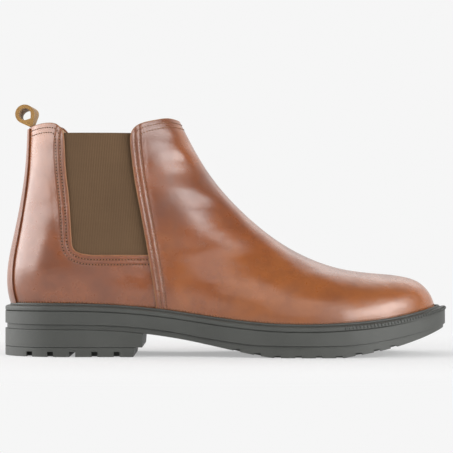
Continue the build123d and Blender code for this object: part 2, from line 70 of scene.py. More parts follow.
CAD_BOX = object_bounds()
BOXES = {node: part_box(node) for node in NODES}
WELT_TOP = BOXES["welt"][1].z
MM = 0.001
SHARP = math.radians(34)
UPPER = ("vamp", "quarter_lateral", "quarter_medial", "gore_lateral", "gore_medial")
PANELS = UPPER[:3]
# The quarter's seam follows the gore's edge. The gore runs on below it by SEAM_DROP.
SEAM_CORNER = 9 * MM
SEAM_DROP = 8 * MM
# The elastic's upright ribs lean forwards by RIB_LEAN of their height.
RIB_PITCH = 1.15 * MM
RIB_LEAN = 0.06
WEFT_PITCH = 0.8 * MM
# How far a rim is tried to each side to find which way its face lies.
PROBE = 3 * MM
STITCH_LIFT = 0.22 * MM
# Painted shade in the needle holes: dark beads set this far below the stitch line, at this size.
HOLE_SHADE_DEPTH = 0.08 * MM
HOLE_SHADE_SIZE = {"Length": 1.05 * MM, "Width": 0.85 * MM, "Height": 0.30 * MM}
RIB_SIZE = {"Length": 1.5 * MM, "Width": 2.6 * MM, "Height": 2.6 * MM}
# The loop's medial side leans this far forwards and down at its top.
TAB_TWIST = (3.2 * MM, -1.6 * MM)
RIBS_BEHIND_PUFF = 8 * MM
STIFFENER = ("stiffener", (0.68, 0.62, 0.52), 0.7, 0.0)
STEEL = ("plain_steel", (0.5, 0.5, 0.5), 0.35, 1.0)
HIDDEN_LOOKS = {
    "toe_puff": STIFFENER,
    "heel_counter": STIFFENER,
    "vamp_interlining": ("backing_cloth", (0.72, 0.68, 0.6), 0.9, 0.0),
    "filler": ("cork_paste", (0.36, 0.21, 0.11), 0.9, 0.0),
    "insole_board": ("fibre_board", (0.38, 0.25, 0.15), 0.85, 0.0),
    "shank": STEEL,
}
HIDDEN_LOOKS.update({node: STEEL for node in NODES if "rivet" in node or "nail" in node})

FLOOR_FRONT, FLOOR_BACK, FLOOR_TOP, FLOOR_HALF_WIDTH = -4.0, 1.6, 5.0, 5.0
FLOOR_SWEEP = 0.8
FLOOR_GREY, FLOOR_GLOW = 0.80, 0.921
WORLD_STRENGTH = 0.15
CAMERA_PLACE = (0.0005, -1.6, 0.0882)
CAMERA_LENS = 183.6
STAGE_LIGHTS = (
    ("key_left", (-1.35, 0.0, 0.48), (2.0, 1.5), 38.0),
    ("back", (0.1, 1.35, 1.00), (1.8, 0.6), 3.0),
    ("side_right", (1.25, -0.80, 0.36), (1.5, 1.1), 31.0),
    ("front", (-0.2, -2.2, 1.60), (3.0, 1.5), 15.0),
)


# ---------------------------------------------------------------- shader graphs
class Sock:
    """A shader socket or number that takes part in arithmetic."""

    def __init__(self, graph, value):
        self.graph = graph
        self.value = value

    def math(self, operation, *others, flip=False):
        terms = [self, *others]
        if flip:
            terms.reverse()
        node = self.graph.tree.nodes.new("ShaderNodeMath")
        node.operation = operation
        for place, term in zip(node.inputs, terms):
            self.graph.put(place, term)
        return Sock(self.graph, node.outputs[0])

    def __add__(self, other):
        return self.math("ADD", other)

    def __radd__(self, other):
        return self.math("ADD", other, flip=True)

    def __sub__(self, other):
        return self.math("SUBTRACT", other)

    def __rsub__(self, other):
        return self.math("SUBTRACT", other, flip=True)

    def __mul__(self, other):
        return self.math("MULTIPLY", other)

    def __rmul__(self, other):
        return self.math("MULTIPLY", other, flip=True)

    def __truediv__(self, other):
        return self.math("DIVIDE", other)

    def __rtruediv__(self, other):
        return self.math("DIVIDE", other, flip=True)

    def __pow__(self, other):
        return self.math("POWER", other)

    def clamp(self):
        """Kept between 0 and 1."""
        return self.math("MAXIMUM", 0.0).math("MINIMUM", 1.0)

    def smooth(self, low, high):
        """0 below low, 1 above high, eased between them."""
        eased_ends = {"interpolation_type": "SMOOTHSTEP"}
        limits = {"From Min": low, "From Max": high}
        return self.graph.node("MapRange", "Result", eased_ends, Value=self, **limits)


class Graph:
    """One material's node tree."""

    def __init__(self, name):
        self.material = bpy.data.materials.new(name)
        self.material.use_nodes = True
        self.tree = self.material.node_tree
        self.shader = next(n for n in self.tree.nodes if n.type == "BSDF_PRINCIPLED")
        where = self.tree.nodes.new("ShaderNodeTexCoord").outputs["Object"]
        self.where = Sock(self, where)
        parts = self.tree.nodes.new("ShaderNodeSeparateXYZ")
        self.put(parts.inputs[0], self.where)
        self.x, self.y, self.z = (Sock(self, out) for out in parts.outputs)

    def put(self, place, term):
        """Links a socket to an input, or sets the input to a constant."""
        value = term.value if isinstance(term, Sock) else term
        if isinstance(value, bpy.types.NodeSocket):
            self.tree.links.new(value, place)
        elif hasattr(value, "__len__") and len(value) == 3 and place.type == "RGBA":
            place.default_value = (*value, 1.0)
        else:
            place.default_value = value

    def node(self, kind, output=0, settings=None, **inputs):
        """A shader node of a kind, with its settings and inputs, as its named output."""
        node = self.tree.nodes.new("ShaderNode" + kind)
        for key, value in (settings or {}).items():
            setattr(node, key, value)
        for key, value in inputs.items():
            self.put(node.inputs[key], value)
        return Sock(self, node.outputs[output])

    def noise(self, scale, detail=2.0, roughness=0.5, stretch=None):
        """Cloudy noise with cells of about one over scale metres, stretched along x, y and z if asked."""
        where = self.where
        if stretch:
            where = self.node("Mapping", "Vector", Vector=where, Scale=stretch)
        return self.node("TexNoise", "Fac", Vector=where, Scale=scale, Detail=detail, Roughness=roughness)

    def cells(self, scale):
        """Distance to the nearest edge of a cell."""
        edges = {"feature": "DISTANCE_TO_EDGE"}
        return self.node("TexVoronoi", "Distance", edges, Vector=self.where, Scale=scale)

    def mix(self, share, a, b):
        """Colour a, turning to colour b as share goes from 0 to 1."""
        node = self.tree.nodes.new("ShaderNodeMix")
        node.data_type = "RGBA"
        self.put(node.inputs["Factor"], share)
        self.put(node.inputs["A"], a)
        self.put(node.inputs["B"], b)
        return Sock(self, next(o for o in node.outputs if o.type == "RGBA"))

    def bump(self, height, distance, strength=1.0, normal=None):
        """A normal raised by height times distance, over another normal if one is given."""
        inputs = {"Height": height, "Distance": distance, "Strength": strength}
        if normal is not None:
            inputs["Normal"] = normal
        return self.node("Bump", "Normal", **inputs)

    def finish(self, **inputs):
        """The material, with inputs set on its shader by their names with _ for spaces."""
        for key, value in inputs.items():
            self.put(self.shader.inputs[key.replace("_", " ")], value)
        return self.material


def curve_of(points, along, across, degree=4):
    """A line's mean along coordinate, and its across coordinate as a polynomial about it, lowest first."""
    middle = points[:, along].mean()
    return middle, np.polyfit(points[:, along] - middle, points[:, across], degree)[::-1]


def seam_distance(g):
    """Metres inside the vamp's rear edge or the quarter's gore edge, as a shader value."""
    low, high = BOXES["vamp"]
    rim = patch("vamp").rims[0]
    rear = rim[(rim[:, 0] < low.x + 22 * MM) & (rim[:, 2] < high.z - 12 * MM)]
    low, high = BOXES["gore_lateral"]
    rim = patch("quarter_lateral").rims[0]
    front = rim[(rim[:, 0] > low.x) & (rim[:, 2] > low.z + 18 * MM) & (rim[:, 2] < high.z - 6 * MM)]
    inside = []
    for line, way in ((rear, 1.0), (front, -1.0)):
        middle, factors = curve_of(line, 2, 0)
        height = g.z - float(middle)
        edge = height * 0.0 + float(factors[-1])
        for factor in factors[-2::-1]:
            edge = edge * height + float(factor)
        inside.append((g.x - edge) * way)
    behind = (inside[1] + SEAM_CORNER).math("MAXIMUM", 0.0)
    under = (low.z + SEAM_DROP + SEAM_CORNER - g.z).math("MAXIMUM", 0.0)
    quarter = (behind * behind + under * under) ** 0.5 - SEAM_CORNER
    on_vamp = inside[0].math("GREATER_THAN", -0.3 * MM)
    return inside[0] * on_vamp + quarter * (1.0 - on_vamp)


def ridge_at(distance, centre, half):
    """1 on a line at a distance, falling to 0 on both sides."""
    return (1.0 - (distance - centre).math("ABSOLUTE") / half).clamp().smooth(0.0, 1.0)


def leather(name, colour, dark, warm, gloss):
    """Polished full-grain leather with cloudy dye, folds, dents, creases, pores and puckered seams, with
    painted shade in speckles along the seams.
    """
    g = Graph(name)
    s = settings("boot_stitching")
    cloud = g.noise(19.0, 4.0, 0.55).smooth(0.40, 0.66)
    streak = g.noise(12.0, 5.0, 0.62, (1.0, 1.0, 0.45)).smooth(0.42, 0.66)
    mottle = g.noise(150.0, 4.0, 0.65)
    grain = g.cells(1050.0).smooth(0.0, 0.30)
    pores = g.noise(1700.0, 2.0, 0.6)
    distance = seam_distance(g)
    near = 1.0 - distance.smooth(6.5 * MM, 11.0 * MM)
    pebble = g.noise(620.0, 3.0, 0.65)
    base = g.mix(cloud * 0.8, colour, dark)
    base = g.mix(streak * 0.65, base, warm)
    base = g.mix(mottle.smooth(0.40, 0.75) * 0.25, base, dark)
    base = g.mix((1.0 - grain) * 0.10, base, dark)
    # Within about a centimetre of the seams the leather darkens in speckles where it puckers: painted shade
    # in the puckers.
    base = g.mix(near * pebble.smooth(0.50, 0.72) * 0.55, base, dark)
    dents = g.noise(24.0, 2.0, 0.5)
    folds = g.noise(11.0, 2.0, 0.5, (0.7, 0.7, 1.9))
    crease = g.noise(85.0, 4.0, 0.62, (0.6, 1.0, 1.5))
    rows_in = ridge_at(distance, s.near, 1.5 * MM) + ridge_at(distance, s.far, 1.5 * MM)
    skin = g.bump(folds, 0.0085, 1.0)
    skin = g.bump(dents, 0.0022, 1.0, skin)
    skin = g.bump(crease, 0.0006, 0.30, skin)
    skin = g.bump(near * pebble - rows_in * 0.9, 0.00042, 1.0, skin)
    skin = g.bump(grain * 0.5 + pores * 0.5, 0.00007, 0.40, skin)
    rough = gloss + cloud * 0.09 + mottle * 0.12
    return g.finish(Base_Color=base, Roughness=rough, Normal=skin, Coat_Weight=0.2, Coat_Roughness=0.22,
                    Specular_IOR_Level=0.95)


def plain_leather(name, colour, dark, rough=0.75):
    """Unpolished lining or strap leather with a short nap."""
    g = Graph(name)
    cloud = g.noise(60.0, 4.0, 0.6).smooth(0.3, 0.7)
    nap = g.noise(2200.0, 3.0, 0.7)
    base = g.mix(cloud * 0.7, colour, dark)
    base = g.mix(nap.smooth(0.5, 0.8) * 0.25, base, dark)
    return g.finish(Base_Color=base, Roughness=rough, Normal=g.bump(nap, 0.0001, 0.6), Sheen_Weight=0.15)


def elastic(name, colour, dark):
    """Woven elastic: fine upright ribs crossed by tight wefts."""
    g = Graph(name)
    along = (g.x + g.z * RIB_LEAN) * (2 * math.pi / RIB_PITCH)
    rib = along.math("SINE") * 0.5 + 0.5
    weft = (g.z * (2 * math.pi / WEFT_PITCH)).math("SINE") * 0.5 + 0.5
    fuzz = g.noise(1800.0, 2.0, 0.6)
    cloud = g.noise(40.0, 2.0, 0.5)
    base = g.mix((1.0 - rib) * 0.5 + (1.0 - weft) * 0.3, colour, dark)
    base = g.mix(cloud.smooth(0.35, 0.7) * 0.25, base, dark)
    normal = g.bump(rib * 0.7 + weft * 0.4 + fuzz * 0.3, 0.0002, 0.6)
    return g.finish(Base_Color=base, Roughness=0.9, Normal=normal, Specular_IOR_Level=0.25)


def rubber(name, colour, light):
    """Moulded rubber, matt, with faint scuffs and mould texture."""
    g = Graph(name)
    fine = g.noise(900.0, 3.0, 0.6)
    cloud = g.noise(25.0, 3.0, 0.6).smooth(0.35, 0.75)
    base = g.mix(cloud * 0.4, colour, light)
    return g.finish(Base_Color=base, Roughness=0.48 + fine * 0.14, Normal=g.bump(fine, 0.0001, 0.4))


def simple(name, colour, rough, metal=0.0):
    """One colour with a faint fine grain."""
    g = Graph(name)
    fine = g.noise(700.0, 3.0, 0.6)
    base = g.mix(fine * 0.3, colour, tuple(c * 0.7 for c in colour))
    return g.finish(Base_Color=base, Roughness=rough + fine * 0.1, Metallic=metal)


# ---------------------------------------------------------------- meshes from the CAD nodes
def welded(node):
    """A node's mesh as a BMesh with shared corners."""
    bm = bmesh.new()
    bm.from_mesh(NODES[node].data)
    bmesh.ops.remove_doubles(bm, verts=bm.verts, dist=1e-6)
    bmesh.ops.dissolve_degenerate(bm, edges=bm.edges, dist=1e-7)
    bm.faces.ensure_lookup_table()
    bm.edges.ensure_lookup_table()
    return bm


def to_object(name, mesh, material, body="boot"):
    """A mesh as an object of one material that rides on a body."""
    obj = bpy.data.objects.new(name, mesh)
    bpy.context.scene.collection.objects.link(obj)
    mesh.materials.clear()
    mesh.materials.append(material)
    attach(obj, body)
    return obj


def copy_of(node, name, material, body="boot", bevel=0.0):
    """A piece that stands for a CAD node, smooth between its sharp edges, which are rounded by bevel."""
    bm = welded(node)
    for edge in bm.edges:
        edge.smooth = len(edge.link_faces) == 2 and edge.calc_face_angle() < SHARP
    for face in bm.faces:
        face.smooth = True
    if bevel:
        sharp = [e for e in bm.edges if not e.smooth]
        bmesh.ops.bevel(bm, geom=sharp, offset=bevel, segments=2, profile=0.5, affect="EDGES",
                        clamp_overlap=True)
        for face in bm.faces:
            face.smooth = True
    mesh = bpy.data.meshes.new(name)
    bm.to_mesh(mesh)
    bm.free()
    obj = to_object(name, mesh, material, body)
    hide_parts(node)
    return obj


def regions_of(bm):
    """A mesh's faces in groups bounded by its sharp edges."""
    seen, regions = set(), []
    for first in bm.faces:
        if first.index in seen:
            continue
        seen.add(first.index)
        region, heap = [], [first]
        while heap:
            face = heap.pop()
            region.append(face)
            smooth = [e for e in face.edges if len(e.link_faces) == 2 and e.calc_face_angle() < SHARP]
            for other in (f for edge in smooth for f in edge.link_faces):
                if other.index not in seen:
                    seen.add(other.index)
                    heap.append(other)
        regions.append(region)
    return regions


class Patch:
    """The smooth region of a node that faces most one way, with its rims."""

    def __init__(self, node, facing):
        bm = welded(node)

        def turned(region):
            return sum(facing(f.calc_center_median(), f.normal) * f.calc_area() for f in region)

        best = max(regions_of(bm), key=turned)
        inside = {f.index for f in best}
        self.rims = self.chained([e for f in best for e in f.edges
                                  if sum(o.index in inside for o in e.link_faces) == 1])
        index = {}
        for face in best:
            for vert in face.verts:
                index.setdefault(vert.index, len(index))
        spots = [None] * len(index)
        turns = np.zeros((len(index), 3))
        triangles = []
        for face in best:
            for vert in face.verts:
                spots[index[vert.index]] = vert.co.copy()
                turns[index[vert.index]] += np.array(face.normal) * face.calc_area()
            triangles.append([index[v.index] for v in face.verts])
        self.points, self.triangles = spots, triangles
        self.normals = turns / np.maximum(np.linalg.norm(turns, axis=1, keepdims=True), 1e-12)
        self.tree = BVHTree.FromPolygons(spots, triangles)
        bm.free()

    @staticmethod
    def chained(edges):
        """Closed loops of points from loose edges, the longest first, walked in the edges' own order."""
        links = {}
        for edge in edges:
            for vert, other in (edge.verts, reversed(edge.verts)):
                links.setdefault(vert, {})[other] = True
        loops = []
        while links:
            start = next(iter(links))
            loop, here = [start], start
            while True:
                choices = links.get(here, {})
                step = next((v for v in choices if v in links), None)
                if step is None:
                    links.pop(here, None)
                    break
                links[here].pop(step, None)
                links[step].pop(here, None)
                if not links[here]:
                    links.pop(here)
                loop.append(step)
                here = step
                if here == start:
                    links.pop(here, None)
                    break
            if len(loop) > 8:
                loops.append(np.array([v.co for v in loop]))
        return sorted(loops, key=lambda p: -np.linalg.norm(np.diff(p, axis=0), axis=1).sum())

    def at(self, point):
        """The nearest point of the face and its smooth normal there."""
        spot, _, which, _ = self.tree.find_nearest(Vector(point))
        corners = self.triangles[which]
        near = np.array([np.linalg.norm(np.array(self.points[c]) - np.array(spot)) for c in corners])
        weight = 1.0 / (near + 1e-6)
        normal = (self.normals[corners] * weight[:, None]).sum(0)
        return np.array(spot), normal / np.linalg.norm(normal)


def spaced(points, step, closed=True):
    """Points at an even step along a line."""
    points = np.array(points, float)
    if closed and np.linalg.norm(points[0] - points[-1]) > 1e-9:
        points = np.vstack([points, points[:1]])
    run = np.concatenate(([0.0], np.cumsum(np.linalg.norm(np.diff(points, axis=0), axis=1))))
    count = max(int(round(run[-1] / step)), 8)
    marks = np.linspace(0, run[-1], count, endpoint=not closed)
    return np.stack([np.interp(marks, run, points[:, k]) for k in range(3)], axis=1)


def eased(points, passes, closed=True):
    """A line with its small kinks rounded off."""
    points = points.copy()
    for _ in range(passes):
        before, after = np.roll(points, 1, axis=0), np.roll(points, -1, axis=0)
        moved = 0.5 * points + 0.25 * (before + after)
        if not closed:
            moved[0], moved[-1] = points[0], points[-1]
        points = moved
    return points


def rows(patch, rim, inset, keep, lift=0.0, step=1.0 * MM):
    """Lines on a patch at an inset from its rim, as (points, normals), where keep(point, normal) holds."""
    line = eased(spaced(rim, step), 3)
    travel = np.roll(line, -1, axis=0) - np.roll(line, 1, axis=0)
    travel /= np.maximum(np.linalg.norm(travel, axis=1, keepdims=True), 1e-12)
    spots, turns = [], []
    for point, way in zip(line, travel):
        spot, normal = patch.at(point)
        inward = np.cross(normal, way)
        probes = [spot + sign * inward * PROBE for sign in (1, -1)]
        far = [np.linalg.norm(patch.at(probe)[0] - probe) for probe in probes]
        sign = 1 if far[0] < far[1] else -1
        place, turn = patch.at(spot + sign * inward * inset)
        spots.append(place)
        turns.append(turn)
    spots = eased(np.array(spots), 4)
    turns = eased(np.array(turns), 6)
    turns /= np.linalg.norm(turns, axis=1, keepdims=True)
    spots = spots + turns * lift
    good = np.array([bool(keep(s, t)) for s, t in zip(spots, turns)])
    if good.all():
        return [(np.vstack([spots, spots[:1]]), np.vstack([turns, turns[:1]]))]
    start = int(np.argmin(good))
    order = np.roll(np.arange(len(spots)), -start)
    runs, run = [], []
    for k in order:
        if good[k]:
            run.append(k)
        elif run:
            runs.append(run)
            run = []
    if run:
        runs.append(run)
    return [(spots[r], turns[r]) for r in runs if len(r) > 6]


def line_object(name, lines):
    """A mesh of open lines that carries each point's outward direction as the attribute up."""
    mesh = bpy.data.meshes.new(name)
    verts = np.vstack([p for p, _ in lines])
    ups = np.vstack([n for _, n in lines])
    edges, start = [], 0
    for points, _ in lines:
        edges += [(start + k, start + k + 1) for k in range(len(points) - 1)]
        start += len(points)
    mesh.from_pydata([tuple(v) for v in verts], edges, [])
    up = mesh.attributes.new("up", "FLOAT_VECTOR", "POINT")
    up.data.foreach_set("vector", ups.ravel().astype(np.float32))
    obj = bpy.data.objects.new(name, mesh)
    bpy.context.scene.collection.objects.link(obj)
    return obj


def repeat_tree(name):
    """Geometry nodes that set rounded beads along lines, each turned to its line and to the up attribute."""
    tree = bpy.data.node_groups.new(name, "GeometryNodeTree")
    face = tree.interface
    face.new_socket("Geometry", in_out="INPUT", socket_type="NodeSocketGeometry")
    for label, default in (("Pitch", 0.003), ("Length", 0.0022), ("Width", 0.0006), ("Height", 0.0004),
                           ("Slant", 0.0), ("Jitter", 0.0)):
        socket = face.new_socket(label, in_out="INPUT", socket_type="NodeSocketFloat")
        socket.default_value = default
    face.new_socket("Material", in_out="INPUT", socket_type="NodeSocketMaterial")
    face.new_socket("Geometry", in_out="OUTPUT", socket_type="NodeSocketGeometry")

    def add(kind, **settings):
        node = tree.nodes.new(kind)
        for key, value in settings.items():
            setattr(node, key, value)
        return node

    link = tree.links.new
    start, end = add("NodeGroupInput"), add("NodeGroupOutput")
    curve = add("GeometryNodeMeshToCurve")
    even = add("GeometryNodeResampleCurve", mode="LENGTH")
    link(start.outputs["Geometry"], curve.inputs[0])
    link(curve.outputs[0], even.inputs["Curve"])
    link(start.outputs["Pitch"], even.inputs["Length"])
    ball = add("GeometryNodeMeshUVSphere")
    ball.inputs["Segments"].default_value = 8
    ball.inputs["Rings"].default_value = 5
    ball.inputs["Radius"].default_value = 0.5
    size = add("ShaderNodeCombineXYZ")
    for k, label in enumerate(("Length", "Width", "Height")):
        link(start.outputs[label], size.inputs[k])
    shaped = add("GeometryNodeTransform")
    link(ball.outputs["Mesh"], shaped.inputs["Geometry"])
    link(size.outputs[0], shaped.inputs["Scale"])
    up = add("GeometryNodeInputNamedAttribute", data_type="FLOAT_VECTOR")
    up.inputs["Name"].default_value = "up"
    tangent = add("GeometryNodeInputTangent")
    aim = add("FunctionNodeAxesToRotation", primary_axis="Z", secondary_axis="X")
    link(up.outputs["Attribute"], aim.inputs["Primary Axis"])
    link(tangent.outputs[0], aim.inputs["Secondary Axis"])
    wobble = add("FunctionNodeRandomValue", data_type="FLOAT")
    wobble.inputs["Seed"].default_value = 7
    low = add("ShaderNodeMath", operation="SUBTRACT")
    high = add("ShaderNodeMath", operation="ADD")
    for node in (low, high):
        link(start.outputs["Slant"], node.inputs[0])
        link(start.outputs["Jitter"], node.inputs[1])
    link(low.outputs[0], wobble.inputs[2])
    link(high.outputs[0], wobble.inputs[3])
    spin = add("ShaderNodeCombineXYZ")
    link(wobble.outputs[1], spin.inputs[2])
    turned = add("FunctionNodeEulerToRotation")
    link(spin.outputs[0], turned.inputs[0])
    both = add("FunctionNodeRotateRotation", rotation_space="LOCAL")
    link(aim.outputs[0], both.inputs["Rotation"])
    link(turned.outputs[0], both.inputs["Rotate By"])
    place = add("GeometryNodeInstanceOnPoints")
    link(even.outputs[0], place.inputs["Points"])
    link(shaped.outputs[0], place.inputs["Instance"])
    link(both.outputs[0], place.inputs["Rotation"])
    real = add("GeometryNodeRealizeInstances")
    link(place.outputs[0], real.inputs[0])
    smooth = add("GeometryNodeSetShadeSmooth")
    link(real.outputs[0], smooth.inputs[0])
    paint = add("GeometryNodeSetMaterial")
    link(smooth.outputs[0], paint.inputs["Geometry"])
    link(start.outputs["Material"], paint.inputs["Material"])
    link(paint.outputs[0], end.inputs[0])
    return tree


def beads(name, lines, material, body="boot", **sizes):
    """Rounded beads along lines, as one plain mesh that rides on a body."""
    obj = line_object(name + "_lines", lines)
    tree = bpy.data.node_groups.get("beads_along_lines") or repeat_tree("beads_along_lines")
    modifier = obj.modifiers.new("beads", "NODES")
    modifier.node_group = tree
    known = {s.name: s.identifier for s in tree.interface.items_tree if s.in_out == "INPUT"}
    for label, value in sizes.items():
        modifier[known[label]] = value
    modifier[known["Material"]] = material
    graph = bpy.context.evaluated_depsgraph_get()
    mesh = bpy.data.meshes.new_from_object(obj.evaluated_get(graph), depsgraph=graph)
    bpy.data.objects.remove(obj)
    mesh.name = name
    return to_object(name, mesh, material, body)


def tube(name, lines, radius, material, body="boot", sides=8, flat=1.0):
    """Round cords along lines of (points, normals), joined up or with capped ends."""
    verts, faces = [], []
    for points, normals in lines:
        closed = np.linalg.norm(points[0] - points[-1]) < 2e-4
        if closed:
            points, normals = points[:-1], normals[:-1]
        travel = np.gradient(points, axis=0)
        if closed:
            travel = np.roll(points, -1, axis=0) - np.roll(points, 1, axis=0)
        travel /= np.linalg.norm(travel, axis=1, keepdims=True)
        across = np.cross(travel, normals)
        across /= np.linalg.norm(across, axis=1, keepdims=True)
        base = len(verts)
        for p, n, a in zip(points, normals, across):
            for k in range(sides):
                t = 2 * math.pi * k / sides
                verts.append(p + radius * (math.cos(t) * a + math.sin(t) * flat * n))
        count = len(points)
        for i in range(count if closed else count - 1):
            j = (i + 1) % count
            for k in range(sides):
                m = (k + 1) % sides
                ring = ((i, k), (i, m), (j, m), (j, k))
                faces.append(tuple(base + row * sides + side for row, side in ring))
        if not closed:
            faces.append([base + k for k in range(sides)][::-1])
            faces.append([base + (count - 1) * sides + k for k in range(sides)])
    mesh = bpy.data.meshes.new(name)
    mesh.from_pydata([tuple(v) for v in verts], [], faces)
    bm = bmesh.new()
    bm.from_mesh(mesh)
    bmesh.ops.recalc_face_normals(bm, faces=bm.faces)
    for face in bm.faces:
        face.smooth = True
    bm.to_mesh(mesh)
    bm.free()
    return to_object(name, mesh, material, body)


# ---------------------------------------------------------------- shared facts
PATCHES = {}


def facing_out(centre, normal):
    """How squarely a face looks away from the boot's inside."""
    ankle = 0.5 * (BOXES["gore_lateral"][0].x + BOXES["gore_lateral"][1].x)
    inside = Vector((ankle + 0.8 * max(centre.x - ankle, 0.0), 0.0, 1.3 * WELT_TOP))
    return normal.dot((centre - inside).normalized())


def facing_up(centre, normal):
    """How squarely a face looks up."""
    return normal.z


def patch(node, facing=facing_out):
    """A node's patch, worked out once."""
    key = (node, facing.__name__)
    if key not in PATCHES:
        PATCHES[key] = Patch(node, facing)
    return PATCHES[key]


def first_hit(point, normal, nodes):
    """Which of the nodes a line from outside meets first near a point."""
    best, name = 1e9, None
    start = Vector(point) + Vector(normal) * 6 * MM
    for node in nodes:
        _, _, _, distance = patch(node).tree.ray_cast(start, -Vector(normal), 12 * MM)
        if distance is not None and distance < best:
            best, name = distance, node
    return name


def above_welt(point):
    """Height of a point above the welt's top beside it."""
    top = patch("welt", facing_up)
    spot, _ = top.at(point)
    return point[2] - spot[2]


# ---------------------------------------------------------------- sizes and colours a user may change
def tint(label, note, default):
    """A colour property."""
    return FloatVectorProperty(name=label, description=note, subtype="COLOR", default=default, min=0, max=1)


def extent(label, note, millimetres):
    """A length property."""
    return FloatProperty(name=label, description=note, default=millimetres * MM, unit="LENGTH")


class BootLeather(bpy.types.PropertyGroup):
    colour: tint("Colour", "Main dye colour", (0.235, 0.062, 0.0140))
    # Besides the darker clouds, this colour is also the painted shade in the speckles along the seams.
    dark: tint("Dark", "Dye colour in the darker clouds", (0.130, 0.033, 0.0085))
    warm: tint("Warm", "Dye colour in the lighter streaks", (0.350, 0.110, 0.024))
    gloss: FloatProperty(name="Roughness", description="Roughness of the polish", default=0.20, min=0, max=1)
    edge: extent("Edge", "Radius of the cut edge", 0.62)


class BootStitching(bpy.types.PropertyGroup):
    pitch: extent("Pitch", "From one stitch to the next", 2.1)
    length: extent("Length", "Visible length of one stitch", 1.45)
    width: extent("Width", "Width of the thread", 0.52)
    near: extent("First row", "Inset of the first row", 2.7)
    far: extent("Second row", "Inset of the second row", 6.1)
    colour: tint("Colour", "Thread colour", (0.36, 0.16, 0.07))


class BootSole(bpy.types.PropertyGroup):
    colour: tint("Colour", "Rubber colour", (0.050, 0.052, 0.047))
    bevel: extent("Bevel", "Rounding of the moulded edges", 0.5)
    welt_bevel: extent("Welt rounding", "Rounding of the welt's edges", 1.5)
    side_bevel: extent("Side rounding", "Rounding of the midsole's edges", 1.6)
    knurl_pitch: extent("Knurl pitch", "From one welt rib to the next", 2.6)
    sides: IntProperty(name="Cord sides", description="Sides of the round cords", default=8, min=5, max=16)


GROUPS = {"boot_leather": BootLeather, "boot_stitching": BootStitching, "boot_sole": BootSole}


def settings(name):
    """The scene's values of one group."""
    return getattr(bpy.context.scene, name)


def shared(name, maker, *arguments):
    """A material made once."""
    return bpy.data.materials.get(name) or maker(name, *arguments)


def paint(node, material):
    """Gives a CAD node's own mesh one material."""
    NODES[node].data.materials.clear()
    NODES[node].data.materials.append(material)


def upper_leather():
    """The polished leather, made once."""
    s = settings("boot_leather")
    return shared("polished_leather", leather, tuple(s.colour), tuple(s.dark), tuple(s.warm), s.gloss)


def sole_rubber():
    """The sole's rubber, made once."""
    s = settings("boot_sole")
    return shared("dark_rubber", rubber, tuple(s.colour), tuple(1.6 * c for c in s.colour))


# ---------------------------------------------------------------- operators
class BOOT_OT_upper(bpy.types.Operator):
    """Build the vamp, quarters and back strip"""
    bl_idname = "boot.upper"
    bl_label = "Upper leather"

    def execute(self, context):
        for node in (*PANELS, "backstay"):
            copy_of(node, node + "_leather", upper_leather())
        return {"FINISHED"}


class BOOT_OT_edges(bpy.types.Operator):
    """Build the cut edges of the leather panels"""
    bl_idname = "boot.edges"
    bl_label = "Cut edges"

    def execute(self, context):
        radius = settings("boot_leather").edge
        sides = settings("boot_sole").sides
        raw = shared("cut_edge", plain_leather, (0.30, 0.125, 0.045), (0.17, 0.062, 0.024), 0.5)
        for node in PANELS:

            def keep(point, normal):
                if above_welt(point) <= -1.0 * MM:
                    return False
                return node == "vamp" or first_hit(point, normal, UPPER) != "vamp"

            face = patch(node)
            lines = rows(face, face.rims[0], 0.0, keep, -radius * 0.92)
            tube(node + "_edge", lines, radius, raw, sides=sides)
        return {"FINISHED"}


class BOOT_OT_stitching(bpy.types.Operator):
    """Sew the double rows along the panel edges"""
    bl_idname = "boot.stitching"
    bl_label = "Stitching"

    def execute(self, context):
        s = settings("boot_stitching")
        thread = shared("thread", plain_leather, tuple(s.colour), tuple(0.6 * c for c in s.colour), 0.6)
        # Near-black beads between the stitches stand for the needle holes: painted shade in the holes.
        hole = shared("needle_hole", simple, (0.02, 0.008, 0.005), 0.9)
        for node in PANELS:
            face = patch(node)

            def keep(point, normal):
                if above_welt(point) <= 1.2 * MM:
                    return False
                return node == "vamp" or first_hit(point, normal, UPPER) == node

            for label, inset in (("near", s.near), ("far", s.far)):
                lines = rows(face, face.rims[0], inset, keep, STITCH_LIFT, step=s.pitch / 2)
                beads(f"{node}_stitches_{label}", lines, thread, Pitch=s.pitch, Length=s.length,
                      Width=s.width, Height=0.6 * s.width, Slant=0.12, Jitter=0.05)
                between = [(points[1:] - HOLE_SHADE_DEPTH * turns[1:], turns[1:]) for points, turns in lines]
                beads(f"{node}_holes_{label}", between, hole, Pitch=s.pitch, **HOLE_SHADE_SIZE)
        return {"FINISHED"}


class BOOT_OT_gores(bpy.types.Operator):
    """Build the elastic side panels"""
    bl_idname = "boot.gores"
    bl_label = "Elastic panels"

    def execute(self, context):
        web = shared("elastic_web", elastic, (0.140, 0.083, 0.043), (0.080, 0.047, 0.025))
        for side in ("lateral", "medial"):
            node = "gore_" + side
            obj = copy_of(node, "elastic_" + side, web)
            low, high = BOXES[node]
            face = patch(node)

            def keep(point, normal):
                return point[2] > high.z - 1.0 * MM

            lines = rows(face, face.rims[0], 0.0, keep, -0.5 * MM)
            tube("elastic_edge_" + side, lines, 0.6 * MM, web)
        return {"FINISHED"}


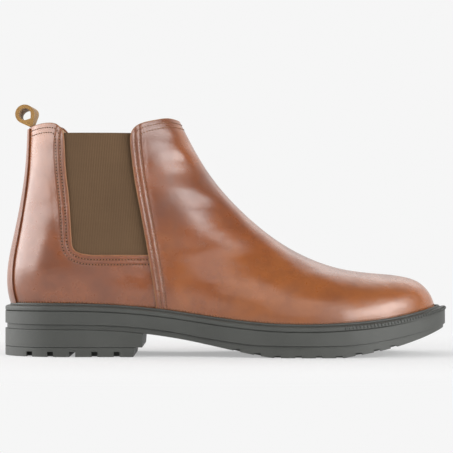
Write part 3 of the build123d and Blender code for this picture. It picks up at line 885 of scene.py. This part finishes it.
class BOOT_OT_pull_tab(bpy.types.Operator):
    """Build the strap loop at the back"""
    bl_idname = "boot.pull_tab"
    bl_label = "Pull tab"

    def execute(self, context):
        tan = shared("tan_strap", plain_leather, (0.37, 0.205, 0.052), (0.19, 0.085, 0.022), 0.62)
        strap = copy_of("pull_tab", "pull_tab_strap", tan, body="tab", bevel=0.35 * MM)
        low, high = BOXES["pull_tab"]
        for vert in strap.data.vertices:
            rise = (vert.co.z - low.z) / (high.z - low.z)
            far = (vert.co.y - low.y) / (high.y - low.y) * rise
            vert.co.x += TAB_TWIST[0] * far
            vert.co.z += TAB_TWIST[1] * far
        paint("pull_tab_tails", tan)
        return {"FINISHED"}


class BOOT_OT_inside(bpy.types.Operator):
    """Build the lining, footbed and hidden pieces"""
    bl_idname = "boot.inside"
    bl_label = "Inside"

    def execute(self, context):
        lining = shared("lining_leather", plain_leather, (0.42, 0.26, 0.15), (0.28, 0.16, 0.09))
        pad = shared("pad_leather", plain_leather, (0.24, 0.13, 0.07), (0.15, 0.08, 0.045))
        for node in ("vamp_lining", "quarter_lining"):
            copy_of(node, node + "_leather", lining)
        bed = copy_of("footbed", "footbed_cushion", lining, bevel=0.8 * MM)
        heel = copy_of("heel_pad", "heel_cushion", pad, bevel=0.4 * MM)
        for node, (name, *look) in HIDDEN_LOOKS.items():
            paint(node, shared(name, simple, *look))
        return {"FINISHED"}


class BOOT_OT_sole(bpy.types.Operator):
    """Build the welt, midsole, runner and heel"""
    bl_idname = "boot.sole"
    bl_label = "Sole"

    def execute(self, context):
        s = settings("boot_sole")
        skin = sole_rubber()
        for node in ("welt", "midsole", "outsole", "heel_block", "heel_lift"):
            bevel = {"welt": s.welt_bevel, "midsole": s.side_bevel}.get(node, s.bevel)
            copy_of(node, node + "_rubber", skin, bevel=bevel)
        top = patch("welt", facing_up)
        rim = patch("midsole", facing_up).rims[0]

        def always(point, normal):
            return True

        def round_toe(point, normal):
            return point[0] > BOXES["toe_puff"][0].x - RIBS_BEHIND_PUFF

        ribs = rows(top, rim, 0.2 * MM, round_toe, -1.15 * MM)
        beads("welt_ribs", ribs, skin, Pitch=s.knurl_pitch, Slant=0.3, **RIB_SIZE)
        lip = rows(top, rim, 4.6 * MM, always, 0.25 * MM)
        tube("welt_lip", lip, 1.05 * MM, skin, sides=s.sides)
        border = rows(top, rim, 0.55 * MM, always, -2.9 * MM)
        tube("welt_border", border, 0.75 * MM, skin, sides=s.sides)
        return {"FINISHED"}


def paper():
    """Pale floor material that glows more strongly away from the boot."""
    g = Graph("pale_paper")
    diffuse = g.node("BsdfDiffuse", "BSDF", Color=(FLOOR_GREY,) * 3)
    glow = g.node("Emission", "Emission", Color=(FLOOR_GLOW,) * 3, Strength=1.0)
    mix = g.tree.nodes.new("ShaderNodeMixShader")
    away = (g.x * g.x + g.y * g.y * 1.6) ** 0.5
    g.put(mix.inputs[0], away.smooth(0.19, 0.42) * 0.6 + 0.4)
    g.tree.links.new(diffuse.value, mix.inputs[1])
    g.tree.links.new(glow.value, mix.inputs[2])
    out = next(n for n in g.tree.nodes if n.type == "OUTPUT_MATERIAL")
    g.tree.links.new(mix.outputs[0], out.inputs["Surface"])
    return g.material


def floor_mesh():
    """A level floor that sweeps up into a wall behind the boot."""
    profile = [(FLOOR_FRONT, 0.0), (FLOOR_BACK, 0.0)]
    for t in np.linspace(0.1, math.pi / 2, 14):
        profile.append((FLOOR_BACK + FLOOR_SWEEP * math.sin(t), FLOOR_SWEEP - FLOOR_SWEEP * math.cos(t)))
    profile.append((FLOOR_BACK + FLOOR_SWEEP, FLOOR_TOP))
    verts = [(x, y, z) for x in (-FLOOR_HALF_WIDTH, FLOOR_HALF_WIDTH) for y, z in profile]
    count = len(profile)
    faces = [(k, count + k, count + k + 1, k + 1) for k in range(count - 1)]
    mesh = bpy.data.meshes.new("floor")
    mesh.from_pydata(verts, [], faces)
    for face in mesh.polygons:
        face.use_smooth = True
    mesh.materials.append(paper())
    return mesh


class BOOT_OT_stage(bpy.types.Operator):
    """Set the floor, lights and camera"""
    bl_idname = "boot.stage"
    bl_label = "Stage"

    def execute(self, context):
        scene = context.scene
        scene.view_settings.view_transform = "Standard"
        world = bpy.data.worlds.new("studio")
        world.use_nodes = True
        background = world.node_tree.nodes["Background"]
        background.inputs["Color"].default_value = (1.0, 1.0, 1.0, 1.0)
        background.inputs["Strength"].default_value = WORLD_STRENGTH
        scene.world = world
        floor = bpy.data.objects.new("floor", floor_mesh())
        scene.collection.objects.link(floor)
        middle = (CAD_BOX[0] + CAD_BOX[1]) / 2
        for name, place, size, power in STAGE_LIGHTS:
            data = bpy.data.lights.new(name, "AREA")
            data.shape = "RECTANGLE"
            data.size, data.size_y = size
            data.energy = power
            lamp = bpy.data.objects.new(name, data)
            lamp.location = place
            lamp.rotation_euler = (middle - Vector(place)).to_track_quat("-Z", "Y").to_euler()
            scene.collection.objects.link(lamp)
        data = bpy.data.cameras.new("camera")
        data.lens = CAMERA_LENS
        camera = bpy.data.objects.new("camera", data)
        camera.location = CAMERA_PLACE
        camera.rotation_euler = (math.pi / 2, 0, 0)
        scene.collection.objects.link(camera)
        scene.camera = camera
        return {"FINISHED"}


class BOOT_PT_panel(bpy.types.Panel):
    bl_idname = "BOOT_PT_panel"
    bl_label = "Chelsea boot"
    bl_space_type = "VIEW_3D"
    bl_region_type = "UI"
    bl_category = "Boot"

    def draw(self, context):
        for name, group in GROUPS.items():
            box = self.layout.box()
            for key in group.__annotations__:
                box.prop(getattr(context.scene, name), key)
        for operator in OPERATORS:
            self.layout.operator(operator.bl_idname)


OPERATORS = (BOOT_OT_upper, BOOT_OT_edges, BOOT_OT_stitching, BOOT_OT_gores, BOOT_OT_pull_tab, BOOT_OT_inside,
             BOOT_OT_sole, BOOT_OT_stage)


def register():
    for cls in (*GROUPS.values(), *OPERATORS, BOOT_PT_panel):
        bpy.utils.register_class(cls)
    for name, group in GROUPS.items():
        setattr(bpy.types.Scene, name, PointerProperty(type=group))


def unregister():
    for name in GROUPS:
        delattr(bpy.types.Scene, name)
    for cls in reversed((*GROUPS.values(), *OPERATORS, BOOT_PT_panel)):
        bpy.utils.unregister_class(cls)


def main():
    register()
    for operator in OPERATORS:
        group, name = operator.bl_idname.split(".")
        getattr(getattr(bpy.ops, group), name)()


if __name__ == "__main__":
    main()
